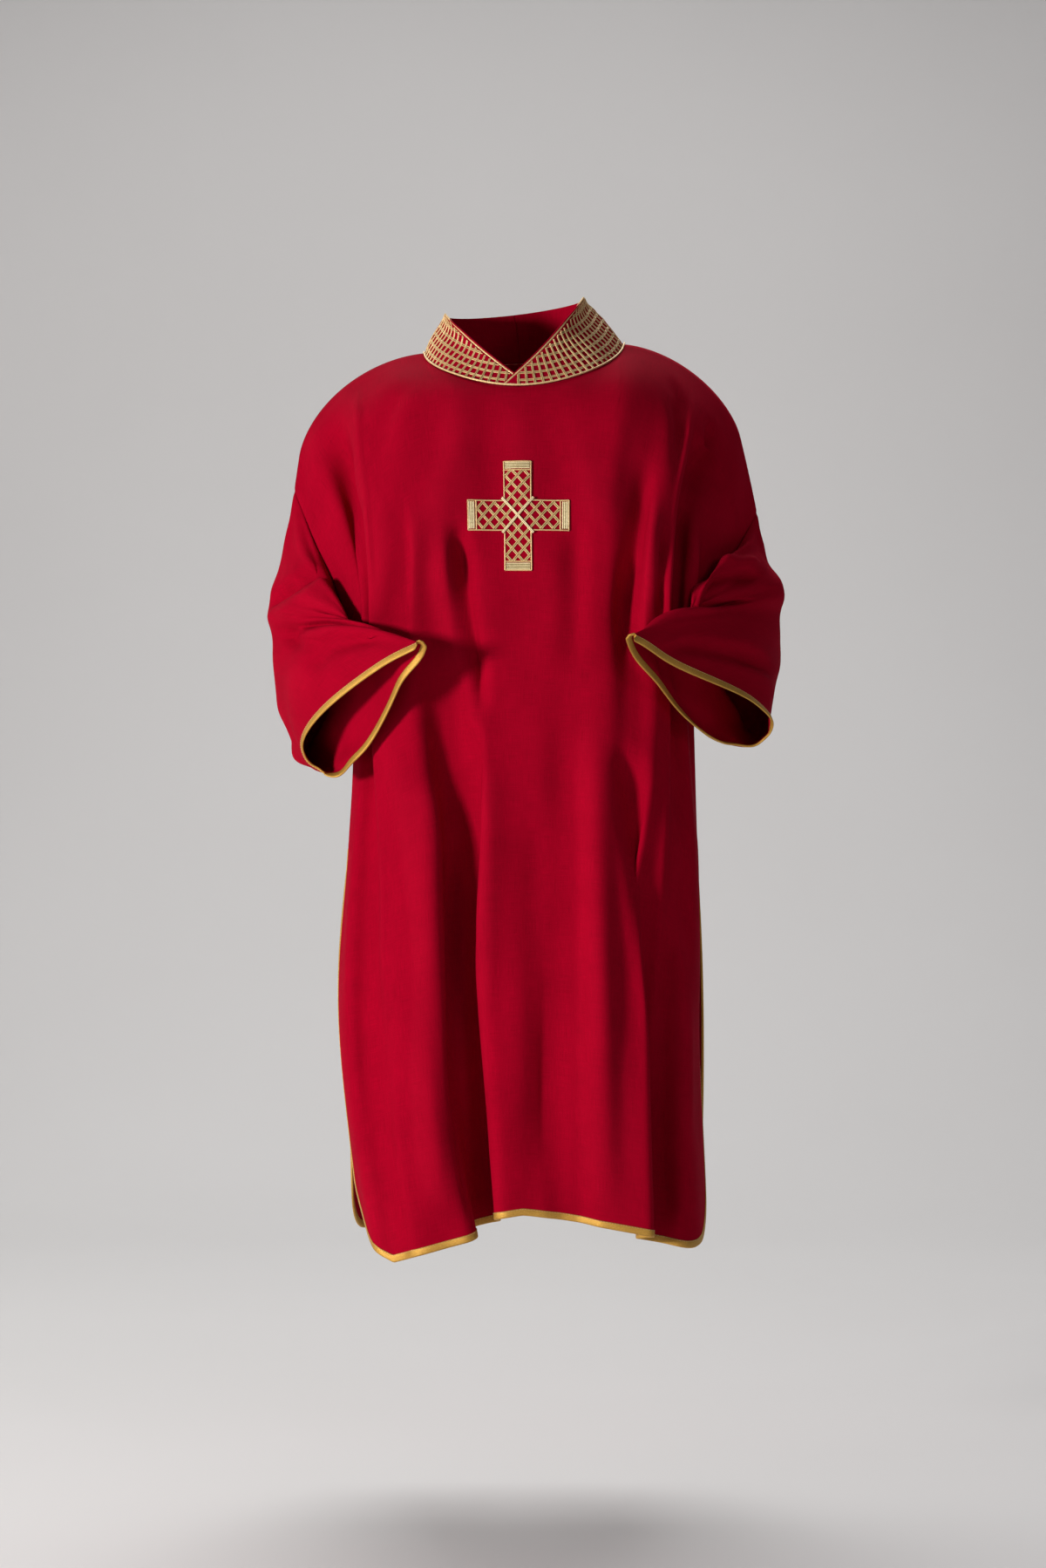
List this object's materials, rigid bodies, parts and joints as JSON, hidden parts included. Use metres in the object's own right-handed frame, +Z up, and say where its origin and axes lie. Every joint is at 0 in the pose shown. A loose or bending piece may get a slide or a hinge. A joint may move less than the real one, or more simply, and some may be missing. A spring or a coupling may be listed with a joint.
{
  "type": "dalmatic",
  "caption": "Wide-sleeved over-tunic in worn form with a stand collar, open side slits, gold edging and an applied cross on the chest.",
  "frame": {"origin": "middle of the neck opening, level with the tops of the shoulders, where the wearer carries it", "axes": "+Z up along the garment's length, -Y towards its front, +X towards the wearer's left"},
  "size_m": [0.6778, 0.3845, 1.2421],
  "materials": {
    "cloth_front": "plain-woven crimson cloth, soft and nearly matt",
    "cloth_back": "plain-woven crimson cloth, soft and nearly matt",
    "cloth_sleeve_right": "plain-woven crimson cloth, soft and nearly matt",
    "cloth_sleeve_left": "plain-woven crimson cloth, soft and nearly matt",
    "collar_right": "crimson cloth under a couched gold lattice",
    "collar_left": "crimson cloth under a couched gold lattice",
    "cord_gold": "twisted gold thread cord with a metallic glint",
    "braid_gold": "woven gold thread braid with a metallic glint",
    "cross_gold": "pale gold embroidery over crimson cloth"
  },
  "bodies": {
    "root": {"front": "cloth_front", "back": "cloth_back", "sleeve_right": "cloth_sleeve_right", "sleeve_left": "cloth_sleeve_left", "collar_right": "collar_right", "collar_left": "collar_left", "cord_collar_right": "cord_gold", "cord_collar_left": "cord_gold", "cord_foot": "cord_gold", "braid_front": "braid_gold", "braid_back": "braid_gold", "braid_cuff_right": "braid_gold", "braid_cuff_left": "braid_gold", "cross": "cross_gold"}
  },
  "joints": []
}
